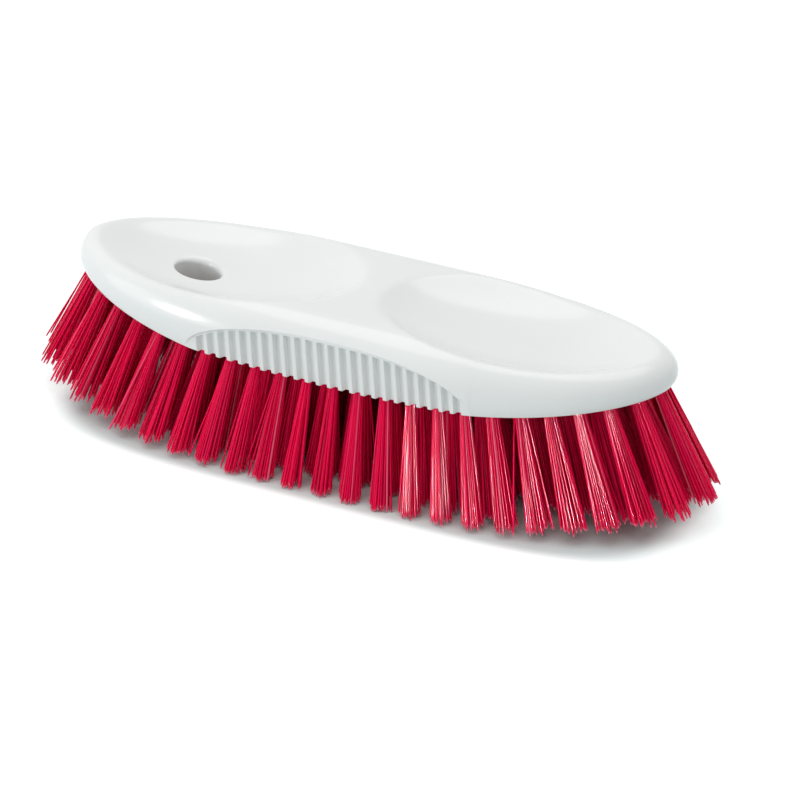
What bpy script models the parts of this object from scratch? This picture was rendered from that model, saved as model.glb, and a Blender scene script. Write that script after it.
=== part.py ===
"""A jug brush: one moulded block with two thumb dishes, and filament tufts set in holes in its underside.

Units are metres and +Z is up. X runs along the brush with the hanging hole toward -X. The origin lies on the
floor under the middle of the brush, which stands on the flat ends of its middle tufts.
"""

import math

import bmesh
import bpy
import numpy as np
from mathutils import Matrix, Vector

# Block
BLOCK_LENGTH = 0.205  # along X at the bottom edge
BLOCK_WIDTH = 0.0666  # across Y at the bottom edge
BLOCK_THICKNESS = 0.0212  # at the middle of the brush
UNDERSIDE_HEIGHT = 0.035  # from the floor to the middle of the underside
UNDERSIDE_RISE = 0.0108  # how far the underside curves up at each end
DECK_DROP = 0.0011  # how far the deck curves down at each end
SADDLE_LENGTH = 0.016  # the flat stretch of deck between the dishes
OVAL_FULLNESS = (-0.0268, 0.0093, -0.0015)  # shares that swell an ellipse into the block's oval
SIDE_BULGE = 0.0006  # how far the wall stands out past the bottom edge, at the sides
END_BULGE = 0.0012  # and at the ends
SIDE_WIDEST = 0.165  # where the wall is widest, as a share of its height, at the sides
END_WIDEST = 0.35  # and at the ends
SIDE_SHOULDER = 0.0127  # how far the rounded shoulder reaches in over the deck, at the sides
END_SHOULDER = 0.0059  # and at the ends

# Thumb dishes and hanging hole
DISH_CENTRE = 0.2488 * BLOCK_LENGTH  # along X from the middle
DISH_LENGTH = 0.443 * BLOCK_LENGTH
DISH_WIDTH = 0.81 * BLOCK_WIDTH
DISH_DEPTH = 0.0088
DISH_LIP = 0.001  # width of the flare round each dish
DISH_FLATNESS = 2.3  # power that flattens the floor of a dish
DISH_STEEPNESS = 0.8  # power that steepens its wall
HOLE_CENTRE = -0.3073 * BLOCK_LENGTH  # along X
HOLE_DIAMETER = 0.015
HOLE_LIP = 0.0008

# Finger grips, one on each long side
GRIP_INSET = 0.0025  # from the bottom edge to the foot of the grip's face
GRIP_LENGTH = 0.488 * BLOCK_LENGTH
GRIP_BOW = 0.001  # how much further out the face lies at its ends than at its middle
GRIP_LEAN = math.radians(2)  # inward, going up
ARCH_HEIGHT = 0.0161  # from the underside to the top of the arch over a grip
GROOVES = 24
GROOVE_PITCH = 0.039 * GRIP_LENGTH
GROOVE_WIDTH = 0.54 * GROOVE_PITCH
GROOVE_DEPTH = 0.0009
GROOVE_MARGIN = 0.0012  # from a groove's round top to the arch above it

# Tufts
FIT_GAP = 0.0003  # between a root and its hole, all round
RING_TUFTS = 48
RING_SIDE_INSET = 0.0068  # from the bottom edge to the ring of tufts, at the sides
RING_END_INSET = 0.0042  # and at the ends
ROOT_RADIUS = 0.0025
ROOT_DEPTH = 0.005
ROOT_WALL = 0.0006  # least plastic left between a hole of the ring and the slot of a row
ROOT_PROUD = 0.0005  # how far a root stands out of its hole
ROW_PLACES = (17, 15, 10)  # evenly spaced places in the middle row, and in each row further out
ROW_HOLE_SPACE = 0.0042  # least distance from the hanging hole's edge to the middle of a tuft
SIDE_LEAN = math.radians(15)  # outward lean of the ring at the sides
END_LEAN = math.radians(26)  # and at the ends
SIDE_EASE = 0.5  # share of the side lean that is lost on the way to the ends
STRAND_SPACE = 0.0005  # between neighbouring strands where they leave the root
STRAND_FAN = 1.55  # how much wider a tuft is at its tips than at its root
STRAND_SWELL = 1.15  # how much thicker a strand is at its tip
TIP_RISE = 0.0085  # how far the trimmed tips curve up at each end
TIP_LENGTH = BLOCK_LENGTH + 0.025  # about the length of the brush over its tips
FLAT_CUT = 0.0005  # what is cut off flat where the brush stands

# Fineness of the curved faces
OVAL_STEPS = 96
SHOULDER_STEPS = 7
DISH_STEPS = 48
DISH_RINGS = 9  # steps down a dish's wall
HOLE_STEPS = 24
GROOVE_STEPS = 8
GROOVE_TOP_STEPS = 3
GRIP_STEPS = 24  # even, so that no step falls on the middle of the brush
ROOT_SIDES = 5
CURVE_SAMPLES = 720  # places all round at which a curve is measured
SOLVE_ROUNDS = 6
SHARP_ANGLE = math.radians(35)
FACES_DOWN = -0.5  # below this Z, a face's normal points down

# How far a cutter runs past the face that it cuts
OVERSHOOT = 0.004
SIDE_OVERSHOOT = 0.008

WHITE = ("white_plastic", (0.83, 0.84, 0.83), 0.22)
CRIMSON = ("crimson_filament", (0.72, 0.006, 0.055), 0.38)


def clear_scene():
    for obj in list(bpy.data.objects):
        bpy.data.objects.remove(obj, do_unlink=True)


def make_collection(name, parent):
    collection = bpy.data.collections.new(name)
    parent.children.link(collection)
    return collection


def make_material(name, colour, roughness):
    material = bpy.data.materials.new(name)
    material.use_nodes = True
    shader = material.node_tree.nodes["Principled BSDF"]
    shader.inputs["Base Color"].default_value = (*colour, 1)
    shader.inputs["Roughness"].default_value = roughness
    shader.inputs["Metallic"].default_value = 0
    return material


def add_part(name, bm, collection, material, frame=None):
    """Makes an object of a mesh that was built in world space, with its origin and turn taken from a frame."""
    frame = frame or Matrix()
    bm.transform(frame.inverted())
    bmesh.ops.recalc_face_normals(bm, faces=bm.faces)
    mesh = bpy.data.meshes.new(name)
    bm.to_mesh(mesh)
    bm.free()
    obj = bpy.data.objects.new(name, mesh)
    obj.matrix_world = frame
    collection.objects.link(obj)
    if material:
        mesh.materials.append(material)
        mesh.shade_smooth()
        mesh.set_sharp_from_angle(angle=SHARP_ANGLE)
    return obj


def add_cutter(name, bm, collection, frame=None):
    obj = add_part(name, bm, collection, None, frame)
    obj.hide_render = True
    obj.display_type = "WIRE"
    return obj


def cut(obj, name, target):
    """Adds a Boolean that takes away one cutter, or each cutter in a collection."""
    modifier = obj.modifiers.new(name, "BOOLEAN")
    modifier.operation = "DIFFERENCE"
    modifier.solver = "EXACT"
    if isinstance(target, bpy.types.Collection):
        modifier.operand_type = "COLLECTION"
        modifier.collection = target
    else:
        modifier.object = target


def skin(bm, rings, closed_ends=True):
    """Joins rings of points that have the same count into one loft."""
    loops = [[bm.verts.new(point) for point in ring] for ring in rings]
    for low, high in zip(loops, loops[1:]):
        for i in range(len(low)):
            j = (i + 1) % len(low)
            bm.faces.new((low[i], low[j], high[j], high[i]))
    if closed_ends:
        bm.faces.new(loops[0])
        bm.faces.new(loops[-1])
    return loops


# Shape of the block, as functions of the place along it


def underside(x):
    return UNDERSIDE_HEIGHT + UNDERSIDE_RISE * (2 * x / BLOCK_LENGTH) ** 2


def deck(x):
    past_saddle = max(0.0, abs(x) - SADDLE_LENGTH / 2)
    return UNDERSIDE_HEIGHT + BLOCK_THICKNESS - DECK_DROP * (2 * past_saddle / BLOCK_LENGTH) ** 2


def fullness(angle):
    return 1 + sum(share * (math.cos(2 * k * angle) - 1) for k, share in enumerate(OVAL_FULLNESS, 2))


def bottom_edge(angle):
    """The block's bottom edge at an angle that is 0 at +X and a quarter turn at +Y."""
    swell = fullness(angle)
    half_width = BLOCK_WIDTH / 2 / fullness(math.pi / 2)
    return Vector((BLOCK_LENGTH / 2 * math.cos(angle) * swell, half_width * math.sin(angle) * swell))


def outward(angle):
    """The outward direction across the bottom edge."""
    step = 1e-4
    along = bottom_edge(angle + step) - bottom_edge(angle - step)
    return Vector((along.y, -along.x)).normalized()


def between_end_and_side(angle, at_end, at_side):
    return at_end + (at_side - at_end) * abs(math.sin(angle))


def wall_offset(angle, share):
    """How far the wall lies outside the bottom edge, at a share of its height."""
    bulge = between_end_and_side(angle, END_BULGE, SIDE_BULGE)
    widest = between_end_and_side(angle, END_WIDEST, SIDE_WIDEST)
    shoulder = between_end_and_side(angle, END_SHOULDER, SIDE_SHOULDER)
    if share < widest:
        return bulge * (1 - ((widest - share) / widest) ** 2)
    rise = (share - widest) / (1 - widest)
    return bulge - shoulder * (1 - math.sqrt(max(0.0, 1 - rise**2)))


def wall_point(angle, share):
    place = bottom_edge(angle) + outward(angle) * wall_offset(angle, share)
    x = bottom_edge(angle).x
    return Vector((place.x, place.y, underside(x) + (deck(x) - underside(x)) * share))


def oval_angles(steps):
    return [math.tau * i / steps for i in range(steps)]


def shoulder_shares(angle):
    """Shares of the wall's height at which the loft has its rings, close together over the round shoulder."""
    widest = between_end_and_side(angle, END_WIDEST, SIDE_WIDEST)
    turns = [math.pi / 2 * i / SHOULDER_STEPS for i in range(SHOULDER_STEPS + 1)]
    return [0.0, widest / 2] + [widest + (1 - widest) * math.sin(turn) for turn in turns]


def fill_across(bm, loop):
    """Closes a ring of the loft with strips from side to side, so that each strip is flat."""
    count = len(loop)
    half = count // 2
    for i in range(half):
        corners = [loop[i], loop[i + 1], loop[(count - i - 1) % count], loop[(count - i) % count]]
        bm.faces.new(list(dict.fromkeys(corners)))


def block_body():
    bm = bmesh.new()
    angles = oval_angles(OVAL_STEPS)
    shares = [shoulder_shares(angle) for angle in angles]
    rings = [
        [wall_point(angle, shares[i][level]) for i, angle in enumerate(angles)]
        for level in range(len(shares[0]))
    ]
    loops = skin(bm, rings, closed_ends=False)
    fill_across(bm, loops[0])
    fill_across(bm, loops[-1])
    return bm


# Cutters for the block


def turned(name, profile, steps, collection):
    """A cutter turned about its own Z axis from a profile that runs down its outer side."""
    bm = bmesh.new()
    verts = [bm.verts.new((radius, 0, height)) for radius, height in profile]
    for first, second in zip(verts, verts[1:]):
        bm.edges.new((first, second))
    obj = add_cutter(name, bm, collection)
    screw = obj.modifiers.new("Turn", "SCREW")
    screw.steps = steps
    screw.render_steps = steps
    screw.use_merge_vertices = True
    screw.merge_threshold = 1e-6
    screw.use_normal_calculate = False
    return obj


def dish_depth(share):
    """Depth of a dish at a share of the way from its middle to its rim."""
    return DISH_DEPTH * (1 - share**DISH_FLATNESS) ** DISH_STEEPNESS


def dish_profile():
    radius = DISH_LENGTH / 2
    rim = radius + DISH_LIP
    profile = [(0, OVERSHOOT), (rim, OVERSHOOT), (rim, DISH_LIP / 4)]
    for i in range(DISH_RINGS):
        share = math.cos(math.pi / 2 * i / DISH_RINGS)
        profile.append((radius * share, -dish_depth(share)))
    profile.append((0, -DISH_DEPTH))
    return profile


def add_dish_cutters(block, collection):
    for name, x in (("dish_left", -DISH_CENTRE), ("dish_right", DISH_CENTRE)):
        cutter = turned(f"{name}_cutter", dish_profile(), DISH_STEPS, collection)
        cutter.location = (x, 0, UNDERSIDE_HEIGHT + BLOCK_THICKNESS)
        cutter.scale = (1, DISH_WIDTH / DISH_LENGTH, 1)
        cut(block, name, cutter)


def dish_floor(x):
    """Height of a dish's floor on the middle line."""
    share = min(1.0, abs(abs(x) - DISH_CENTRE) / (DISH_LENGTH / 2))
    return UNDERSIDE_HEIGHT + BLOCK_THICKNESS - dish_depth(share)


def add_hanging_hole(block, collection):
    radius = HOLE_DIAMETER / 2
    mouth = dish_floor(HOLE_CENTRE)
    foot = underside(HOLE_CENTRE)
    profile = [
        (0, OVERSHOOT),
        (radius + HOLE_LIP + OVERSHOOT, OVERSHOOT),
        (radius + HOLE_LIP, HOLE_LIP / 4),
        (radius, -HOLE_LIP),
        (radius, foot - mouth - OVERSHOOT),
        (0, foot - mouth - OVERSHOOT),
    ]
    cutter = turned("hanging_hole_cutter", profile, HOLE_STEPS, collection)
    cutter.location = (HOLE_CENTRE, 0, mouth)
    cut(block, "hanging_hole", cutter)


def grip_face(x, z):
    """Distance of a grip's face from the middle plane."""
    bow = GRIP_BOW * (2 * x / GRIP_LENGTH) ** 2
    return BLOCK_WIDTH / 2 - GRIP_INSET + bow - math.tan(GRIP_LEAN) * (z - UNDERSIDE_HEIGHT)


def arch(x):
    """Height of the arch that bounds a grip."""
    return underside(x) + ARCH_HEIGHT * math.sqrt(max(0.0, 1 - (2 * x / GRIP_LENGTH) ** 2))


def add_grip_cutters(block, collection):
    """A long block with an arched top, whose inner face is the grip's face."""
    low = UNDERSIDE_HEIGHT - OVERSHOOT
    far = BLOCK_WIDTH / 2 + SIDE_OVERSHOOT
    turns = np.linspace(-math.pi / 2, math.pi / 2, GRIP_STEPS)
    for name, side in (("grip_near", -1), ("grip_far", 1)):
        rings = []
        for x in GRIP_LENGTH / 2 * np.sin(turns):
            high = arch(x)
            corners = ((grip_face(x, low), low), (far, low), (far, high), (grip_face(x, high), high))
            rings.append([(x, side * y, z) for y, z in corners])
        bm = bmesh.new()
        skin(bm, rings)
        cut(block, name, add_cutter(f"{name}_cutter", bm, collection))


def half_width_at(x):
    """Half the width of the bottom edge, and the angle where it lies, at a place along the block."""
    angles = np.linspace(math.pi / 2, 0, CURVE_SAMPLES // 4 + 1)
    edge = [bottom_edge(angle) for angle in angles]
    angle = float(np.interp(abs(x), [point.x for point in edge], angles))
    return bottom_edge(angle).y, angle


def face_top(x):
    """Height at which a grip's face ends: at the arch, or lower down where it comes out of the round wall."""
    half_width, angle = half_width_at(x)
    shoulder = between_end_and_side(angle, END_SHOULDER, SIDE_SHOULDER)
    widest = between_end_and_side(angle, END_WIDEST, SIDE_WIDEST)
    bulge = between_end_and_side(angle, END_BULGE, SIDE_BULGE)
    height = underside(x)
    for _ in range(SOLVE_ROUNDS):
        depth = half_width + bulge - grip_face(x, height)
        level = min(1.0, max(0.0, depth / shoulder))
        share = widest + (1 - widest) * math.sqrt(1 - (1 - level) ** 2)
        height = underside(x) + (deck(x) - underside(x)) * share
    return min(height, arch(x))


def groove_profile(radius, length):
    profile = [(0, length)]
    for i in range(GROOVE_TOP_STEPS):
        turn = math.pi / 2 * (i + 1) / GROOVE_TOP_STEPS
        profile.append((radius * math.sin(turn), length - radius * (1 - math.cos(turn))))
    return profile + [(radius, 0), (0, 0)]


def add_groove_cutters(block, collection):
    """Upright round-topped grooves across both grips."""
    radius = (GROOVE_WIDTH**2 / 4 + GROOVE_DEPTH**2) / (2 * GROOVE_DEPTH)
    first = -GROOVE_PITCH * (GROOVES - 1) / 2
    for name, side in (("near", -1), ("far", 1)):
        for i in range(GROOVES):
            x = first + GROOVE_PITCH * i
            top = face_top(x) - GROOVE_MARGIN
            low = underside(x) - OVERSHOOT
            profile = groove_profile(radius, (top - low) / math.cos(GRIP_LEAN))
            cutter = turned(f"groove_{name}_{i + 1:02d}_cutter", profile, GROOVE_STEPS, collection)
            y = grip_face(x, low) + radius - GROOVE_DEPTH
            lean = Matrix.Rotation(side * GRIP_LEAN, 4, "X")
            cutter.matrix_world = Matrix.Translation((x, side * y, low)) @ lean
    cut(block, "grooves", collection)


# Tufts


def ring_curve():
    """Closely spaced points on the line of the ring, inside the bottom edge."""
    points = []
    for angle in np.linspace(0, math.tau, CURVE_SAMPLES + 1):
        inset = RING_END_INSET + (RING_SIDE_INSET - RING_END_INSET) * math.sin(angle) ** 2
        points.append(bottom_edge(angle) - outward(angle) * inset)
    return np.array(points)


def ring_places():
    """Evenly spaced places along the ring."""
    points = ring_curve()
    run = np.concatenate([[0], np.cumsum(np.linalg.norm(np.diff(points, axis=0), axis=1))])
    stops = np.linspace(0, run[-1], RING_TUFTS, endpoint=False)
    return np.column_stack([np.interp(stops, run, points[:, axis]) for axis in (0, 1)])


def ring_hole_ends():
    """Where holes along the ring's line would end inside the block. They lean inward, going up."""
    ends = [Vector(point) - tuft_direction(*point).xy * (ROOT_DEPTH + FIT_GAP) for point in ring_curve()]
    return np.array(ends)


def row_reach(y, ends):
    """How far along X a row can run before its slot comes too close to the holes of the ring."""
    space = 2 * (ROOT_RADIUS + FIT_GAP) + ROOT_WALL
    reach = 0.0
    for x in np.linspace(0, BLOCK_LENGTH / 2, CURVE_SAMPLES):
        if np.hypot(ends[:, 0] - x, ends[:, 1] - y).min() < space:
            break
        reach = x
    return reach


def beside_hole(x, ends):
    """How far from the middle line a place lies midway between the hanging hole and the ring."""
    hole = math.sqrt(max(0.0, (HOLE_DIAMETER / 2) ** 2 - (x - HOLE_CENTRE) ** 2))
    side = ends[ends[:, 1] > 0]
    side = side[np.argsort(side[:, 0])]
    return (hole + float(np.interp(x, side[:, 0], side[:, 1]))) / 2


def row_runs():
    """The places of the inner rows. Rows bend round the hanging hole, but the middle row is broken there."""
    runs = []
    ends = ring_hole_ends()
    clear = HOLE_DIAMETER / 2 + ROW_HOLE_SPACE
    spacing = (BLOCK_WIDTH / 2 - RING_SIDE_INSET) / len(ROW_PLACES)
    for step in range(1 - len(ROW_PLACES), len(ROW_PLACES)):
        line = step * spacing
        reach = row_reach(line, ends)
        run = []
        for x in np.linspace(-reach, reach, ROW_PLACES[abs(step)]):
            if math.hypot(x - HOLE_CENTRE, line) >= clear:
                run.append((float(x), line))
            elif step:
                run.append((float(x), math.copysign(beside_hole(x, ends), line)))
            elif run:
                runs.append(run)
                run = []
        if run:
            runs.append(run)
    return runs


def tuft_direction(x, y):
    """Which way a tuft points: straight down in the middle, and outward toward the sides and ends."""
    along = x / (BLOCK_LENGTH / 2 - RING_END_INSET)
    across = y / (BLOCK_WIDTH / 2 - RING_SIDE_INSET)
    out_x = math.sin(END_LEAN) * along
    out_y = math.sin(SIDE_LEAN) * across * (1 - SIDE_EASE * along**2)
    return Vector((out_x, out_y, -math.sqrt(1 - out_x**2 - out_y**2)))


def tuft_frame(x, y):
    """Place of a tuft's mouth on the underside, with its own Z axis running up into the block."""
    turn = (-tuft_direction(x, y)).to_track_quat("Z", "Y").to_matrix().to_4x4()
    return Matrix.Translation((x, y, underside(x))) @ turn


def trimmed_tip(x):
    """Height of the tips. In the middle they are cut flat at the floor."""
    return max(0.0, TIP_RISE * (2 * x / TIP_LENGTH) ** 2 - FLAT_CUT)


def grow_strands(bm, cells):
    """Draws a strand out of each three-sided cell of a root, down to the trimmed surface."""
    bmesh.ops.inset_individual(bm, faces=cells, thickness=STRAND_SPACE / 2, use_even_offset=True)
    grown = bmesh.ops.extrude_discrete_faces(bm, faces=cells)["faces"]
    return [face for face in grown if isinstance(face, bmesh.types.BMFace)]


def place_tips(faces, middle):
    """Moves the ends of one tuft's strands out along its direction and fans them about its middle."""
    direction = tuft_direction(middle.x, middle.y)
    length = middle.z / -direction.z
    for face in faces:
        centre = face.calc_center_median()
        for vert in face.verts:
            spread = (centre - middle) * STRAND_FAN + (vert.co - centre) * STRAND_SWELL
            tip = middle + spread + direction * length
            share = (vert.co.z - trimmed_tip(tip.x)) / (vert.co.z - tip.z)
            landed = vert.co + (tip - vert.co) * share
            landed.z = trimmed_tip(tip.x)
            vert.co = landed


def root(radius, low, high, frame):
    """A root or its hole: a short bar with as many sides as the tuft has strands."""
    bm = bmesh.new()
    place = frame @ Matrix.Translation((0, 0, (low + high) / 2))
    bmesh.ops.create_cone(
        bm, cap_ends=True, segments=ROOT_SIDES, radius1=radius, radius2=radius, depth=high - low, matrix=place
    )
    return bm


def lowest_face(bm, frame):
    back = frame.inverted()
    return min(bm.faces, key=lambda face: (back @ face.calc_center_median()).z)


def add_ring_tuft(number, x, y, collection, material):
    frame = tuft_frame(x, y)
    bm = root(ROOT_RADIUS, -ROOT_PROUD, ROOT_DEPTH, frame)
    cells = bmesh.ops.poke(bm, faces=[lowest_face(bm, frame)])["faces"]
    place_tips(grow_strands(bm, cells), frame @ Vector((0, 0, -ROOT_PROUD)))
    return add_part(f"ring_tuft_{number:02d}", bm, collection, material, frame)


def row_bar(stops, half_width, below, above):
    """A bar along a row that follows the underside, from below it to above it."""
    bm = bmesh.new()
    rings = []
    for x, y in stops:
        low, high = underside(x) - below, underside(x) + above
        corners = ((-half_width, low), (half_width, low), (half_width, high), (-half_width, high))
        rings.append([(x, y + across, z) for across, z in corners])
    skin(bm, rings)
    return bm


def row_stops(places, end_gap):
    """The ends of each tuft's square along a row, with the row's own ends moved out by a gap."""
    stops = [Vector((x + side * ROOT_RADIUS, y)) for x, y in places for side in (-1, 1)]
    stops[0].x -= end_gap
    stops[-1].x += end_gap
    return stops


def add_inner_row(number, places, collection, material):
    bm = row_bar(row_stops(places, 0), ROOT_RADIUS, ROOT_PROUD, ROOT_DEPTH)
    bmesh.ops.recalc_face_normals(bm, faces=bm.faces)
    for x, _ in places:
        squares = [face for face in bm.faces if face.normal.z < FACES_DOWN]
        square = min(squares, key=lambda face: abs(face.calc_center_median().x - x))
        middle = square.calc_center_median()
        cells = bmesh.ops.poke(bm, faces=[square])["faces"]
        place_tips(grow_strands(bm, cells), middle)
        bm.normal_update()
    frame = Matrix.Translation((0, places[0][1], UNDERSIDE_HEIGHT))
    return add_part(f"inner_row_{number}", bm, collection, material, frame)


def add_tufts(block, parts, ring_cutters, row_cutters, material):
    for number, (x, y) in enumerate(ring_places(), 1):
        add_ring_tuft(number, x, y, parts, material)
        hole = root(ROOT_RADIUS + FIT_GAP, -OVERSHOOT, ROOT_DEPTH + FIT_GAP, tuft_frame(x, y))
        add_cutter(f"tuft_hole_cutter_{number:02d}", hole, ring_cutters)
    for number, places in enumerate(row_runs(), 1):
        add_inner_row(number, places, parts, material)
        slot = row_bar(row_stops(places, FIT_GAP), ROOT_RADIUS + FIT_GAP, OVERSHOOT, ROOT_DEPTH + FIT_GAP)
        add_cutter(f"row_slot_cutter_{number}", slot, row_cutters)
    cut(block, "tuft_holes", ring_cutters)
    cut(block, "row_slots", row_cutters)


def main():
    clear_scene()
    scene = bpy.context.scene.collection
    parts = make_collection("jug_brush", scene)
    cutters = make_collection("cutters", scene)
    white = make_material(*WHITE)
    crimson = make_material(*CRIMSON)
    block = add_part("block", block_body(), parts, white)
    add_dish_cutters(block, cutters)
    add_hanging_hole(block, cutters)
    add_grip_cutters(block, cutters)
    add_groove_cutters(block, make_collection("groove_cutters", cutters))
    ring_cutters = make_collection("tuft_hole_cutters", cutters)
    row_cutters = make_collection("row_slot_cutters", cutters)
    add_tufts(block, parts, ring_cutters, row_cutters, crimson)


main()
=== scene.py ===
"""Dresses the jug brush: a glossy white block with two thumb dishes, on a bed of crimson filament tufts.

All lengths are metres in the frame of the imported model: +X along the brush away from its hanging hole, +Z
up, and the floor at Z = 0.
"""

import logging
import math
from dataclasses import dataclass, field
from enum import Enum
from typing import Callable, Iterable, Sequence

import bpy
import numpy as np
from mathutils import Matrix, Vector


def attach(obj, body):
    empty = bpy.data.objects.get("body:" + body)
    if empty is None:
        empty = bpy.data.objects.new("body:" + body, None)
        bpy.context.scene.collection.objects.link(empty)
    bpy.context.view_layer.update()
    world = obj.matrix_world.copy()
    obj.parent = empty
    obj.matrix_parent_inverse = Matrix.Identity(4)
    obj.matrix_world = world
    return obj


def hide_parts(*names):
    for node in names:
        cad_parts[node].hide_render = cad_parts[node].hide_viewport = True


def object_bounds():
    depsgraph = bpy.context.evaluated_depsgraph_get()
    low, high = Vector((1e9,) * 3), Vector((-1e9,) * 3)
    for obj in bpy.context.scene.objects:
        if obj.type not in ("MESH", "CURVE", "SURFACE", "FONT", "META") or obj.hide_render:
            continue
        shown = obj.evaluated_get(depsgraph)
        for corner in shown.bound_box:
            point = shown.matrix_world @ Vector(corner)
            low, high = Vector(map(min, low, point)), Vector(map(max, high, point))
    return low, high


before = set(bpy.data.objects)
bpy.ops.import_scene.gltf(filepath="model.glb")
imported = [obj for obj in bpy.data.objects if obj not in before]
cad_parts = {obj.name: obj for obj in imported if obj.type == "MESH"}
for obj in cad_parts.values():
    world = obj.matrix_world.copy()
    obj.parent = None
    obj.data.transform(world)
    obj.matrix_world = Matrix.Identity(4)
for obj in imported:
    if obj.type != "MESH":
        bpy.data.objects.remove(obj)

LOG = logging.getLogger("jug_brush")
CAD_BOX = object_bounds()
BODY = "root"
BLOCK_LENGTH = 0.205
BLOCK_WIDTH = 0.0666
MERGE = 1e-6  # distance under which two vertices are one
ROW_SEED = 100  # added to an inner row's number, so that no row repeats the chance of a ring tuft
GOLDEN_TURN = math.pi * (3 - math.sqrt(5))  # turn from one point to the next that fills a disc evenly

Array = np.ndarray
Colour = tuple[float, float, float]
Surface = Callable[[Array, Array], Array]


class Slot(Enum):
    """Material slots of the record."""

    BLOCK = "white_plastic"
    FILAMENT = "crimson_filament"


# Small helpers for Blender's operators


def start_clean() -> None:
    """Leaves edit mode and deselects everything, so that an operator acts only on what comes next."""
    if bpy.context.object and bpy.context.object.mode != "OBJECT":
        bpy.ops.object.mode_set(mode="OBJECT")
    bpy.ops.object.select_all(action="DESELECT")


def make_active(obj: bpy.types.Object) -> None:
    """Selects one object alone and makes it the active one.

    Args:
        obj: The object.
    """
    start_clean()
    obj.select_set(True)
    bpy.context.view_layer.objects.active = obj


def new_primitive(name: str, add: Callable[..., object], **sizes: object) -> bpy.types.Object:
    """Adds a mesh primitive with one of Blender's operators.

    Args:
        name: Name for the object and its mesh.
        add: The operator that adds the primitive.
        **sizes: The operator's own arguments.

    Returns:
        The new object.
    """
    start_clean()
    add(**sizes)
    obj = bpy.context.object
    obj.name = name
    obj.data.name = name
    return obj


def coordinates(mesh: bpy.types.Mesh) -> Array:
    """Reads a mesh's vertex positions.

    Args:
        mesh: The mesh.

    Returns:
        An array with a row for each vertex.
    """
    flat = np.empty(len(mesh.vertices) * 3)
    mesh.vertices.foreach_get("co", flat)
    return flat.reshape(-1, 3)


def set_coordinates(mesh: bpy.types.Mesh, points: Array) -> None:
    """Moves the mesh's vertices to the rows of an array."""
    mesh.vertices.foreach_set("co", np.ascontiguousarray(points, dtype=np.float32).ravel())
    mesh.update()


def join(objects: Sequence[bpy.types.Object], name: str) -> bpy.types.Object:
    """Joins objects into the first of them.

    Args:
        objects: The objects to join.
        name: Name for the joined object and its mesh.

    Returns:
        The joined object.
    """
    make_active(objects[0])
    for obj in objects:
        obj.select_set(True)
    bpy.ops.object.join()
    objects[0].name = name
    objects[0].data.name = name
    return objects[0]


def weld(obj: bpy.types.Object) -> None:
    """Merges an object's doubled vertices and turns its faces outwards.

    Args:
        obj: The object to clean.
    """
    make_active(obj)
    bpy.ops.object.mode_set(mode="EDIT")
    bpy.ops.mesh.select_all(action="SELECT")
    bpy.ops.mesh.remove_doubles(threshold=MERGE)
    bpy.ops.mesh.normals_make_consistent(inside=False)
    bpy.ops.object.mode_set(mode="OBJECT")


def cut_away(obj: bpy.types.Object, cutter: bpy.types.Object) -> None:
    """Cuts one mesh out of another.

    Args:
        obj: The object that is cut.
        cutter: The closed shape to take away. It is deleted afterwards.
    """
    modifier = obj.modifiers.new(cutter.name, "BOOLEAN")
    modifier.operation = "DIFFERENCE"
    modifier.solver = "EXACT"
    modifier.object = cutter
    make_active(obj)
    bpy.ops.object.modifier_apply(modifier=modifier.name)
    bpy.data.objects.remove(cutter, do_unlink=True)


def place_copies(model: bpy.types.Object, places: Iterable[Matrix], name: str) -> bpy.types.Object:
    """Copies a finished mesh to several places and joins the copies, each with its own mesh.

    Args:
        model: The mesh to copy. It is deleted afterwards.
        places: A matrix for each copy.
        name: Name for the joined object.

    Returns:
        The joined object.
    """
    copies = []
    for place in places:
        copy = model.copy()
        copy.data = model.data.copy()
        copy.data.transform(place)
        bpy.context.collection.objects.link(copy)
        copies.append(copy)
    bpy.data.objects.remove(model, do_unlink=True)
    return join(copies, name)


def lower_of(first: Array, second: Array, blend: float) -> Array:
    """The lower of two heights, with the crease between them rounded over a blend length."""
    near = np.maximum(blend - np.abs(first - second), 0) / blend
    return np.minimum(first, second) - near**2 * blend / 4


def ease(value: Array) -> Array:
    """A soft step from 0 to 1 as the value goes from 0 to 1."""
    share = np.clip(value, 0, 1)
    return share * share * (3 - 2 * share)


def distance_along(points: Array) -> Array:
    """The distance run at each point of a line, from its first point."""
    return np.concatenate([[0], np.cumsum(np.linalg.norm(np.diff(points, axis=0), axis=1))])


def report(piece: bpy.types.Object) -> None:
    """Writes a finished piece's name and face count to the log."""
    LOG.info("%s: %d faces", piece.name, len(piece.data.polygons))


# Shape of the block


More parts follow.
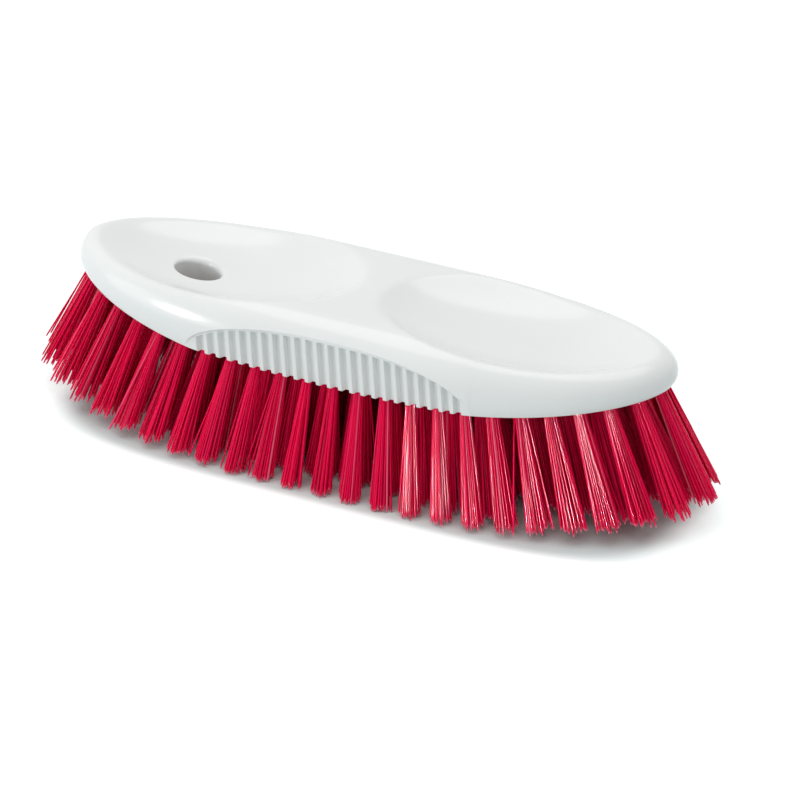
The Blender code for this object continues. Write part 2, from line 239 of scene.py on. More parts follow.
@dataclass(frozen=True)
class Oval:
    """The block's plan: an ellipse swelled by a few waves into a fuller oval."""

    length: float = BLOCK_LENGTH
    width: float = BLOCK_WIDTH
    swell: tuple[float, ...] = (-0.0268, 0.0093, -0.0015)
    step: float = 1e-4  # small turn over which the edge's direction is measured
    samples: int = 20001  # places at which the edge is measured to find a point on it

    def fullness(self, angle: Array) -> Array:
        """Factor on the plain ellipse at each angle."""
        return 1 + sum(share * (np.cos(2 * k * angle) - 1) for k, share in enumerate(self.swell, 2))

    def edge(self, angle: Array) -> Array:
        """Points of the bottom edge.

        Args:
            angle: Places round the oval, 0 at +X and a quarter turn at +Y.

        Returns:
            The X and Y of each point.
        """
        swell = self.fullness(angle)
        half_width = self.width / 2 / self.fullness(np.array(math.pi / 2))
        return np.stack([self.length / 2 * np.cos(angle) * swell, half_width * np.sin(angle) * swell], -1)

    def outward(self, angle: Array) -> Array:
        """Outward directions across the bottom edge.

        Args:
            angle: Places round the oval.

        Returns:
            The X and Y of each direction, of unit length.
        """
        along = self.edge(angle + self.step) - self.edge(angle - self.step)
        normal = np.stack([along[..., 1], -along[..., 0]], -1)
        return normal / np.linalg.norm(normal, axis=-1, keepdims=True)

    def half_turn(self) -> tuple[Array, Array]:
        """Closely spaced angles from -X to +X, and the X of the bottom edge at each."""
        angles = np.linspace(math.pi, 0, self.samples)
        return angles, self.edge(angles)[:, 0]


@dataclass(frozen=True)
class Wall:
    """The block's wall, from its bottom edge over the round shoulder to the deck.

    A pair of values holds the one at the ends of the brush and the one at its sides.
    """

    bulge: tuple[float, float] = (0.0012, 0.0006)
    widest: tuple[float, float] = (0.35, 0.165)
    shoulder: tuple[float, float] = (0.0059, 0.0127)

    @staticmethod
    def between(angle: Array, pair: tuple[float, float]) -> Array:
        """A size between its value at the ends and its value at the sides."""
        at_end, at_side = pair
        return at_end + (at_side - at_end) * np.abs(np.sin(angle))

    def offset(self, angle: Array, share: Array) -> Array:
        """How far the wall lies outside the bottom edge.

        Args:
            angle: Places round the oval.
            share: Heights, as a share of the wall's height.

        Returns:
            Distances outward.
        """
        bulge = self.between(angle, self.bulge)
        widest = self.between(angle, self.widest)
        shoulder = self.between(angle, self.shoulder)
        low = bulge * (1 - (np.maximum(widest - share, 0) / widest) ** 2)
        rise = np.clip((share - widest) / (1 - widest), 0, 1)
        high = bulge - shoulder * (1 - np.sqrt(1 - rise**2))
        return np.where(share < widest, low, high)


@dataclass(frozen=True)
class Dishes:
    """The two thumb dishes in the deck."""

    centre: float = 0.2488 * BLOCK_LENGTH
    length: float = 0.443 * BLOCK_LENGTH
    width: float = 0.81 * BLOCK_WIDTH
    depth: float = 0.0088
    flatness: float = 2.3
    steepness: float = -0.1  # power that steepens the wall toward the rim
    rim_ease: float = 0.03  # keeps the wall of a dish from standing upright at the rim
    lip: float = 0.0024  # blend between a dish and the deck

    def height(self, x: Array, y: Array, deck: float) -> Array:
        """Height of the dishes' surface, which climbs past the deck outside the rims.

        Args:
            x: Places along the brush.
            y: Places across it.
            deck: Height of the deck.

        Returns:
            Heights.
        """
        reach = np.hypot((np.abs(x) - self.centre) / (self.length / 2), y / (self.width / 2))
        inside = 1 - reach**self.flatness
        steep = (inside**2 + self.rim_ease**2) ** self.steepness
        return deck - self.depth * inside * steep


@dataclass(frozen=True)
class Grips:
    """The ribbed finger grips on both long sides."""

    inset: float = 0.0025
    length: float = 0.488 * BLOCK_LENGTH
    bow: float = 0.001
    lean: float = math.radians(2)
    arch_height: float = 0.0161
    ledge: float = 0.0005  # height over which the wall steps in at the arch
    crease: float = 0.0005  # blend between a grip's face and the round wall
    grooves: int = 24
    pitch: float = 0.039 * 0.488 * BLOCK_LENGTH
    depth: float = 0.0016
    floor: float = 0.0007  # half the width of a groove's floor
    mouth: float = 0.0014  # half its width at the mouth
    slant: float = math.tan(math.radians(5))  # of the grooves, against the upright
    slant_level: float = 0.006  # height above the underside at which a groove keeps its place
    slant_fade: float = 0.006  # length over which the slant dies out past the ends
    top: float = 0.0007  # height over which a groove's top runs out
    margin: float = 0.0012  # from a groove's round top to the arch above it
    roundness: float = 2.5  # power that joins a groove's sides to its round top

    def face(self, x: Array, rise: Array, half_width: float) -> Array:
        """Distance of a grip's face from the middle plane, at a rise above the middle of the underside."""
        bow = self.bow * (2 * x / self.length) ** 2
        return half_width - self.inset + bow - math.tan(self.lean) * rise

    def arch(self, x: Array) -> Array:
        """Height of the arch that bounds a grip, above the underside."""
        return self.arch_height * np.sqrt(np.maximum(0, 1 - (2 * x / self.length) ** 2))

    def slide(self, x: Array, rise: Array) -> Array:
        """How far a point of the wall slides along the brush, so that the grooves slant.

        Args:
            x: Places along the brush.
            rise: Heights above the underside.

        Returns:
            Distances toward +X, dying out past the ends of the grips.
        """
        fade = ease((self.length / 2 - np.abs(x)) / self.slant_fade + 1)
        return self.slant * (self.slant_level - rise) * fade

    def groove_depth(self, x: Array, z: Array, tops: Array) -> Array:
        """Depth of the grooves under the grip's face.

        Args:
            x: Places along the brush.
            z: Heights.
            tops: Height of the arch at each place.

        Returns:
            Depths, 0 between the grooves and above them.
        """
        number = np.clip(np.round(x / self.pitch - 0.5), -self.grooves / 2, self.grooves / 2 - 1)
        across = x - (number + 0.5) * self.pitch
        above = np.maximum(z - (tops - self.margin - self.top), 0) / self.top
        beside = np.maximum(np.abs(across) - self.floor, 0) / (self.mouth - self.floor)
        reach = (above**self.roundness + beside**self.roundness) ** (1 / self.roundness)
        return self.depth * (1 - ease(reach))


@dataclass(frozen=True)
class HangingHole:
    """The slightly oval hole in the left dish, with a soft lip."""

    centre: float = -0.3073 * BLOCK_LENGTH
    bore: float = 0.0075  # radius that the rows of tufts keep clear of
    radius: float = 0.007
    oval: tuple[float, float] = (1.13, 0.87)  # stretch along the brush and across it
    oval_turn: float = math.radians(-8)
    lip: float = 0.0014
    lip_swing: float = 0.7  # how much wider the lip is on one side, as a share of it
    lip_turn: float = math.radians(55)  # the direction of that side
    overshoot: float = 0.004
    sides: int = 128
    steps: int = 9

    def cutter(self, top: Surface, foot: float) -> bpy.types.Object:
        """A cutter that flares at its top, where it follows the surface.

        Args:
            top: Gives the height of the dish's floor at a place.
            foot: Height of the underside at the hole.

        Returns:
            The cutter.
        """
        mouth = float(top(np.array(self.centre), np.array(0.0)))
        obj = new_primitive(
            "hanging_hole",
            bpy.ops.mesh.primitive_circle_add,
            vertices=self.sides,
            radius=self.radius,
            fill_type="NGON",
            location=(self.centre, 0, foot - self.overshoot),
        )
        middle = (self.centre, 0, mouth)
        rises = [mouth - self.lip - (foot - self.overshoot)]
        radii = [self.radius]
        for i in range(1, self.steps + 1):
            turn = math.pi / 2 * i / self.steps
            last = math.pi / 2 * (i - 1) / self.steps
            rises.append(self.lip * (math.sin(turn) - math.sin(last)))
            radii.append(self.radius + self.lip * (1 - math.cos(turn)))
        rises.append(self.overshoot)
        radii.append(radii[-1])
        make_active(obj)
        bpy.ops.object.mode_set(mode="EDIT")
        bpy.ops.mesh.select_all(action="SELECT")
        radius = self.radius
        for rise, wider in zip(rises, radii):
            bpy.ops.mesh.extrude_region_move(TRANSFORM_OT_translate={"value": (0, 0, rise)})
            scale = wider / radius
            bpy.ops.transform.resize(value=(scale, scale, 1), center_override=middle)
            radius = wider
        bpy.ops.mesh.select_all(action="SELECT")
        bpy.ops.mesh.normals_make_consistent(inside=False)
        bpy.ops.object.mode_set(mode="OBJECT")
        bpy.ops.object.transform_apply(location=True, rotation=False, scale=False)
        self.follow(obj, top, mouth)
        return obj

    def follow(self, cutter: bpy.types.Object, top: Surface, mouth: float) -> None:
        """Makes the cutter oval, and its flare follow the dish's floor with a wider lip on one side.

        Args:
            cutter: The round cutter.
            top: Gives the height of the dish's floor at a place.
            mouth: Height of the dish's floor at the middle of the hole.
        """
        points = coordinates(cutter.data)
        flare = points[:, 2] > mouth - self.lip - MERGE
        x, y = points[flare, 0] - self.centre, points[flare, 1]
        reach, turn = np.hypot(x, y), np.arctan2(y, x)
        share = 1 + self.lip_swing * np.cos(turn - self.lip_turn)
        wide = self.radius + (reach - self.radius) * share
        depth = mouth - points[flare, 2]
        depth = np.where(depth > 0, depth * share, depth)
        points[flare, 0] = self.centre + wide * np.cos(turn)
        points[flare, 1] = wide * np.sin(turn)
        along = np.array((math.cos(self.oval_turn), math.sin(self.oval_turn)))
        across = np.array((-along[1], along[0]))
        place = points[:, :2] - (self.centre, 0)
        longer, narrower = (self.oval[0] - 1) * (place @ along), (self.oval[1] - 1) * (place @ across)
        points[:, :2] += longer[:, None] * along + narrower[:, None] * across
        points[flare, 2] = top(points[flare, 0], points[flare, 1]) - depth
        set_coordinates(cutter.data, points)


@dataclass(frozen=True)
class BlockForm:
    """All the sizes and curves of the block, as functions of the place on it."""

    oval: Oval = field(default_factory=Oval)
    wall: Wall = field(default_factory=Wall)
    dishes: Dishes = field(default_factory=Dishes)
    grips: Grips = field(default_factory=Grips)
    thickness: float = 0.0212
    underside_height: float = 0.035
    underside_rise: float = 0.0108
    deck_drop: float = 0.0011
    saddle_length: float = 0.016
    foot: float = 0.0005  # radius of the bottom edge
    rounds: int = 8  # of the search for a grip's upper end

    @property
    def deck_height(self) -> float:
        """Height of the deck in the middle of the brush."""
        return self.underside_height + self.thickness

    def underside(self, x: Array) -> Array:
        """Height of the underside."""
        return self.underside_height + self.underside_rise * (2 * x / self.oval.length) ** 2

    def deck(self, x: Array) -> Array:
        """Height of the deck without its dishes."""
        past_saddle = np.maximum(0, np.abs(x) - self.saddle_length / 2)
        return self.deck_height - self.deck_drop * (2 * past_saddle / self.oval.length) ** 2

    def face(self, x: Array, z: Array) -> Array:
        """Distance of a grip's face from the middle plane."""
        return self.grips.face(x, z - self.underside_height, self.oval.width / 2)

    def arch_share(self, angle: Array) -> Array:
        """Where a grip's face ends, at its arch or where it runs out of the wall.

        Args:
            angle: Places round the oval.

        Returns:
            Shares of the wall's height.
        """
        edge = self.oval.edge(angle)
        x, half_width = edge[..., 0], np.abs(edge[..., 1])
        bulge = Wall.between(angle, self.wall.bulge)
        widest = Wall.between(angle, self.wall.widest)
        shoulder = Wall.between(angle, self.wall.shoulder)
        low, high = self.underside(x), self.deck(x)
        share = np.array(widest)
        for _ in range(self.rounds):
            depth = half_width + bulge - self.face(x, low + (high - low) * share)
            level = np.clip(depth / shoulder, 0, 1)
            share = widest + (1 - widest) * np.sqrt(1 - (1 - level) ** 2)
        return np.minimum(share, self.grips.arch(x) / (high - low))

    def sunk(self, x: Array, y: Array, z: Array) -> Array:
        """Heights of the top surface with the dishes pressed into it."""
        return lower_of(z, self.dishes.height(x, y, self.deck_height), self.dishes.lip)


@dataclass(frozen=True)
class Block:
    """The moulded block: grids mapped onto the deck, the wall and the underside, welded and drilled."""

    form: BlockForm
    hole: HangingHole
    # Stations of the mesh, from the middle of a groove at 0 to the middle of a rib at 1
    station_marks: tuple[float, ...] = (0.0, 0.2, 0.38, 0.44, 0.5, 0.56, 0.62, 0.68, 0.74, 0.82)
    mark_digits: int = 4  # two stations that agree to so many digits are one
    end_stations: int = 12  # between the last groove and the end of the grip
    coarsest: float = 0.0011  # spacing of the mesh round the ends
    growth: float = 1.12
    deck_rows: int = 56
    foot_rows: int = 4
    lower_rows: int = 15
    upper_rows: int = 26
    crowding: float = 1.45  # how strongly the rows crowd together at the arch
    upright: float = 0.3  # share of the rows' run below the widest place
    sharp: float = math.radians(32)

    def side_angles(self) -> Array:
        """Chooses where the mesh has its stations.

        Returns:
            Angles from -X to +X, close together over the ribs.
        """
        dense, x = self.form.oval.half_turn()
        grips = self.form.grips
        marks = np.array(self.station_marks)
        one = np.concatenate([marks - 2, -marks[:0:-1], marks, 2 - marks[::-1]]) / 2
        one = np.unique(np.round(one[np.abs(one) <= 0.5], self.mark_digits))
        middles = np.arange(grips.grooves) - (grips.grooves - 1) / 2
        stops = np.unique(np.round((middles[:, None] + one[None]).ravel(), self.mark_digits)) * grips.pitch
        end_steps = np.linspace(stops[-1], grips.length / 2, self.end_stations + 1)[1:]
        stops = np.concatenate([-end_steps[::-1], stops, end_steps])
        ribbed = np.interp(stops, x, dense)
        steps = [grips.length / 2 - end_steps[-2]]
        end = dense[dense <= ribbed[-1]]
        run = distance_along(self.form.oval.edge(end))
        while sum(steps) < run[-1]:
            steps.append(min(steps[-1] * self.growth, self.coarsest))
        stops = np.cumsum(steps) * run[-1] / sum(steps)
        right = np.interp(stops, run, end)
        right[-1] = 0
        left = (math.pi - right)[::-1]
        return np.concatenate([left, ribbed, right])

    def row_shares(self, angle: Array, row: Array) -> tuple[Array, Array]:
        """Where the wall's rows lie.

        Args:
            angle: Angle of each vertex.
            row: Row number of each vertex, from the bottom.

        Returns:
            The share of the wall's height, and how far the round foot draws each vertex in.
        """
        edge_x = self.form.oval.edge(angle)[..., 0]
        full = self.form.deck(edge_x) - self.form.underside(edge_x)
        turn = math.pi / 2 * np.clip(row / self.foot_rows, 0, 1)
        foot = self.form.foot
        foot_share = foot * (1 - np.cos(turn)) / full
        inset = foot * (1 - np.sin(turn))
        widest = Wall.between(angle, self.form.wall.widest)
        arch = self.form.arch_share(angle)
        arch_turn = np.arcsin(np.clip((arch - widest) / (1 - widest), 0, 1))
        arch_run = self.upright + (1 - self.upright) * arch_turn / (math.pi / 2)
        arch_run = np.where(arch < widest, self.upright * arch / widest, arch_run)
        first_run = self.upright * (foot / full) / widest
        arch_run = np.maximum(arch_run, first_run * 2)
        low = np.clip((row - self.foot_rows) / self.lower_rows, 0, 1)
        high = np.clip((row - self.foot_rows - self.lower_rows) / self.upper_rows, 0, 1)
        run = first_run + (arch_run - first_run) * (1 - (1 - low) ** self.crowding)
        run = np.where(high > 0, arch_run + (1 - arch_run) * high**self.crowding, run)
        past = np.clip((run - self.upright) / (1 - self.upright), 0, 1)
        over = widest + (1 - widest) * np.sin(math.pi / 2 * past)
        share = np.where(run < self.upright, widest * run / self.upright, over)
        return np.where(row < self.foot_rows, foot_share, share), inset

    def wall_points(self, angle: Array, row: Array) -> Array:
        """Points of the wall before the dishes are pressed in, with its grips and grooves.

        Args:
            angle: Angle of each vertex.
            row: Row number of each vertex, from the bottom.

        Returns:
            The points.
        """
        form = self.form
        share, inset = self.row_shares(angle, row)
        station = form.oval.edge(angle)[..., 0]
        rise = (form.deck(station) - form.underside(station)) * share
        dense, x_of_dense = form.oval.half_turn()
        slid = np.interp(station + form.grips.slide(station, rise), x_of_dense, dense)
        slides = np.abs(station) < form.grips.length / 2 + form.grips.slant_fade
        angle = np.where(slides, np.sign(angle) * slid, angle)
        share, inset = self.row_shares(angle, row)
        edge = form.oval.edge(angle)
        place = edge + form.oval.outward(angle) * (form.wall.offset(angle, share) - inset)[..., None]
        low, high = form.underside(edge[..., 0]), form.deck(edge[..., 0])
        z = low + (high - low) * share
        x, y = place[..., 0], place[..., 1]
        grips = form.grips
        tops = low + (high - low) * form.arch_share(angle)
        face = form.face(x, z) - inset
        recess = np.abs(y) - lower_of(np.abs(y), face, grips.crease)
        under_arch = ease((low + grips.arch(x) - z) / grips.ledge)
        on_face = ease((np.abs(y) - face) / grips.crease + 1)
        width = np.abs(y) - (recess + grips.groove_depth(station, z, tops) * on_face) * under_arch
        return np.stack([x, np.sign(y) * width, z], -1)

    @staticmethod
    def mapped_grid(name: str, columns: int, rows: int, place: Surface) -> bpy.types.Object:
        """Adds a grid and moves its vertices by a formula.

        Args:
            name: Name for the object.
            columns: Faces along the grid.
            rows: Faces across it.
            place: Gives the points for the vertices' column and row numbers.

        Returns:
            The mapped grid.
        """
        obj = new_primitive(
            name, bpy.ops.mesh.primitive_grid_add, x_subdivisions=columns, y_subdivisions=rows, size=2
        )
        flat = coordinates(obj.data)
        column = np.round((flat[:, 0] + 1) / 2 * columns).astype(int)
        row = np.round((flat[:, 1] + 1) / 2 * rows).astype(int)
        set_coordinates(obj.data, place(column, row))
        return obj

    def build(self, holes: bpy.types.Object) -> bpy.types.Object:
        """Builds the block.

        Args:
            holes: Cutter for the tufts' holes.

        Returns:
            The finished block.
        """
        side = self.side_angles()
        last = len(side) - 1
        around = np.concatenate([side, -side[::-1][1:]])
        top_row = self.foot_rows + self.lower_rows + self.upper_rows
        side_top = self.wall_points(side, np.full(len(side), top_row))
        side_foot = self.wall_points(side, np.zeros(len(side), dtype=int))
        side_top[[0, last], 1] = 0
        side_foot[[0, last], 1] = 0

        def on_deck(column: Array, row: Array) -> Array:
            """Points of the deck, with its dishes, between the tops of both walls.

            Args:
                column: Column number of each vertex.
                row: Row number of each vertex, across the deck.

            Returns:
                The points.
            """
            points = side_top[column].copy()
            points[:, 1] *= 2 * row / self.deck_rows - 1
            points[:, 2] = self.form.sunk(points[:, 0], points[:, 1], points[:, 2])
            return points

        def on_wall(column: Array, row: Array) -> Array:
            """Points of the wall all round.

            Args:
                column: Column number of each vertex.
                row: Row number of each vertex, from the bottom.

            Returns:
                The points.
            """
            points = self.wall_points(around[column], row)
            points[np.isin(column, (0, last, 2 * last)), 1] = 0
            points[:, 2] = self.form.sunk(points[:, 0], points[:, 1], points[:, 2])
            return points

        def on_underside(column: Array, row: Array) -> Array:
            """Points of the underside, between the feet of both walls.

            Args:
                column: Column number of each vertex.
                row: Row number of each vertex, across the underside.

            Returns:
                The points.
            """
            points = side_foot[column].copy()
            points[:, 1] *= 2 * row - 1
            return points

        deck = self.mapped_grid("deck", last, self.deck_rows, on_deck)
        wall = self.mapped_grid("wall", 2 * last, top_row, on_wall)
        underside = self.mapped_grid("underside", last, 1, on_underside)
        block = join([deck, wall, underside], "moulded_block")
        weld(block)
        cut_away(block, holes)
        foot = float(self.form.underside(np.array(self.hole.centre)))
        cut_away(block, self.hole.cutter(lambda x, y: self.form.sunk(x, y, self.form.deck(x)), foot))
        make_active(block)
        bpy.ops.object.shade_smooth_by_angle(angle=self.sharp)
        return block


# Tufts


@dataclass(frozen=True)
class TuftSpot:
    """Where one tuft leaves the underside, and which way it points."""

    x: float
    y: float
    z: float
    direction: Vector

    def frame(self) -> Matrix:
        """A matrix at the mouth of the hole, with its own Z axis running up into the block."""
        turn = (-self.direction).to_track_quat("Z", "Y").to_matrix().to_4x4()
        return Matrix.Translation((self.x, self.y, self.z)) @ turn


@dataclass(frozen=True)
class TuftPlan:
    """Where the tufts stand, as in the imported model, and the holes that they stand in."""

    form: BlockForm
    hole: HangingHole
    ring_count: int = 48
    side_inset: float = 0.0068
    end_inset: float = 0.0042
    root_radius: float = 0.0025
    root_depth: float = 0.005
    fit_gap: float = 0.0003
    mouth_radius: float = 0.0022  # of the holes that show round the filaments
    mouth_sides: int = 20
    overshoot: float = 0.003  # how far the drill starts below the underside
    root_wall: float = 0.0006
    row_places: tuple[int, ...] = (17, 15, 10)
    hole_space: float = 0.0042
    side_lean: float = math.radians(15)
    end_lean: float = math.radians(26)
    side_ease: float = 0.5
    samples: int = 720

    def direction(self, x: float, y: float) -> Vector:
        """Which way a tuft points: straight down in the middle, outward toward the sides and ends.

        Args:
            x: The tuft's place along the brush.
            y: Its place across it.

        Returns:
            The direction from root to tips, of unit length.
        """
        along = x / (self.form.oval.length / 2 - self.end_inset)
        across = y / (self.form.oval.width / 2 - self.side_inset)
        out_x = math.sin(self.end_lean) * along
        out_y = math.sin(self.side_lean) * across * (1 - self.side_ease * along**2)
        return Vector((out_x, out_y, -math.sqrt(1 - out_x**2 - out_y**2)))

    def spot(self, x: float, y: float) -> TuftSpot:
        """The tuft at a place on the underside."""
        return TuftSpot(x, y, float(self.form.underside(np.array(x))), self.direction(x, y))

    def ring_line(self) -> Array:
        """Finds the line on which the outer ring stands.

        Returns:
            Closely spaced points of the line.
        """
        angle = np.linspace(0, math.tau, self.samples + 1)
        inset = self.end_inset + (self.side_inset - self.end_inset) * np.sin(angle) ** 2
        return self.form.oval.edge(angle) - self.form.oval.outward(angle) * inset[:, None]

    def ring(self) -> list[TuftSpot]:
        """The tufts of the outer ring, evenly spaced.

        Returns:
            Their places, starting at +X.
        """
        points = self.ring_line()
        run = distance_along(points)
        stops = np.linspace(0, run[-1], self.ring_count, endpoint=False)
        return [
            self.spot(float(np.interp(stop, run, points[:, 0])), float(np.interp(stop, run, points[:, 1])))
            for stop in stops
        ]

    def row_reach(self, y: float, ends: Array) -> float:
        """How far a row can run before it comes too close to the holes of the ring.

        Args:
            y: The row's place across the brush.
            ends: Points of the line on which the holes of the ring end.

        Returns:
            The distance from the middle of the brush.
        """
        space = 2 * (self.root_radius + self.fit_gap) + self.root_wall
        reach = 0.0
        for x in np.linspace(0, self.form.oval.length / 2, self.samples):
            if np.hypot(ends[:, 0] - x, ends[:, 1] - y).min() < space:
                break
            reach = float(x)
        return reach

    def beside_hole(self, x: float, ends: Array) -> float:
        """How far from the middle line a place lies midway between the hanging hole and the ring.

        Args:
            x: Place along the brush.
            ends: Points of the line on which the holes of the ring end.

        Returns:
            The distance across the brush.
        """
        hole = math.sqrt(max(0.0, self.hole.bore**2 - (x - self.hole.centre) ** 2))
        side = ends[ends[:, 1] > 0]
        side = side[np.argsort(side[:, 0])]
        return (hole + float(np.interp(x, side[:, 0], side[:, 1]))) / 2

    def rows(self) -> list[list[TuftSpot]]:
        """The tufts of the inner rows.

        Returns:
            A list for each row. Rows bend round the hanging hole, but the middle row is broken there.
        """
        depth = self.root_depth + self.fit_gap
        ends = np.array([Vector(point) - self.direction(*point).xy * depth for point in self.ring_line()])
        clear = self.hole.bore + self.hole_space
        spacing = (self.form.oval.width / 2 - self.side_inset) / len(self.row_places)
        rows: list[list[TuftSpot]] = []
        for step in range(1 - len(self.row_places), len(self.row_places)):
            line = step * spacing
            reach = self.row_reach(line, ends)
            row: list[TuftSpot] = []
            for x in np.linspace(-reach, reach, self.row_places[abs(step)]):
                if math.hypot(x - self.hole.centre, line) >= clear:
                    row.append(self.spot(float(x), line))
                elif step:
                    row.append(self.spot(float(x), math.copysign(self.beside_hole(x, ends), line)))
                elif row:
                    rows.append(row)
                    row = []
            if row:
                rows.append(row)
        return rows

    def hole_cutter(self) -> bpy.types.Object:
        """Makes the cutter for the tufts' holes.

        Returns:
            One object with a drill at every hole.
        """
        depth = self.root_depth + self.fit_gap
        drill = new_primitive(
            "drill",
            bpy.ops.mesh.primitive_cylinder_add,
            vertices=self.mouth_sides,
            radius=self.mouth_radius,
            depth=depth + self.overshoot,
            location=(0, 0, (depth - self.overshoot) / 2),
        )
        bpy.ops.object.transform_apply(location=True, rotation=False, scale=False)
        spots = self.ring() + [spot for row in self.rows() for spot in row]
        return place_copies(drill, [spot.frame() for spot in spots], "tuft_holes")


@dataclass(frozen=True)
class Filament:
    """One straight filament of round section: rings of points from its root to its cut tip."""

    radius: float = 0.0003
    sides: int = 6
    rings: tuple[float, ...] = (0.0, 0.5, 0.955, 0.985, 1.0)
    tip_taper: float = 0.62  # width of the cut end's flat, as a share of the filament

    def model(self) -> bpy.types.Object:
        """Extrudes a disc into a filament.

        Returns:
            A filament of unit length and unit radius along +Z.
        """
        obj = new_primitive(
            "filament", bpy.ops.mesh.primitive_circle_add, vertices=self.sides, radius=1, fill_type="NGON"
        )
        make_active(obj)
        bpy.ops.object.mode_set(mode="EDIT")
        bpy.ops.mesh.select_all(action="SELECT")
        for low, high in zip(self.rings, self.rings[1:]):
            bpy.ops.mesh.extrude_region_move(TRANSFORM_OT_translate={"value": (0, 0, high - low)})
        taper = (self.tip_taper, self.tip_taper, 1)
        bpy.ops.transform.resize(value=taper, center_override=(0, 0, 1))
        bpy.ops.mesh.select_all(action="SELECT")
        bpy.ops.mesh.normals_make_consistent(inside=False)
        bpy.ops.object.mode_set(mode="OBJECT")
        return obj


@dataclass(frozen=True)
class TuftForm:
    """How the filaments of a tuft spread from its root to its trimmed tips."""

    filaments: int = 42
    root_radius: float = 0.0011
    tip_radius: float = 0.0034
    end_fan: float = 0.38  # how much wider the tufts fan at the ends of the brush
    fan_from: float = 0.02  # distance from the middle from which on they do
    fan_full: float = 0.075
    end_side_lean: float = 0.003  # how much further the tips at the ends lean out sideways
    root_depth: float = 0.0046
    clumps: int = 6
    clump_reach: tuple[float, float] = (0.5, 0.78)  # of the clumps' middles, as a share of the tuft's radius
    clumping: float = 0.08  # how far a tip is drawn to the middle of its clump
    clump_chance: tuple[float, float] = (0.3, 1.2)  # least and most of that, as a factor
    wander: float = 0.00014
    bow: float = 0.0001
    stray_share: float = 0.09
    stray_reach: float = 0.0017
    ragged: float = 0.0009
    end_ragged: float = 0.0008  # how much more ragged the tips are at the ends
    most_ragged: float = 3.0  # times the usual raggedness
    tip_rise: float = 0.0085
    tip_length: float = 0.23
    flat_cut: float = 0.0005

    @classmethod
    def of_rows(cls) -> "TuftForm":
        """The fuller tufts of the inner rows."""
        return cls(filaments=100, root_radius=0.0017, tip_radius=0.0056)

    def trimmed(self, x: Array) -> Array:
        """Height of the trimmed tips, flat at the floor in the middle."""
        return np.maximum(0, self.tip_rise * (2 * x / self.tip_length) ** 2 - self.flat_cut)


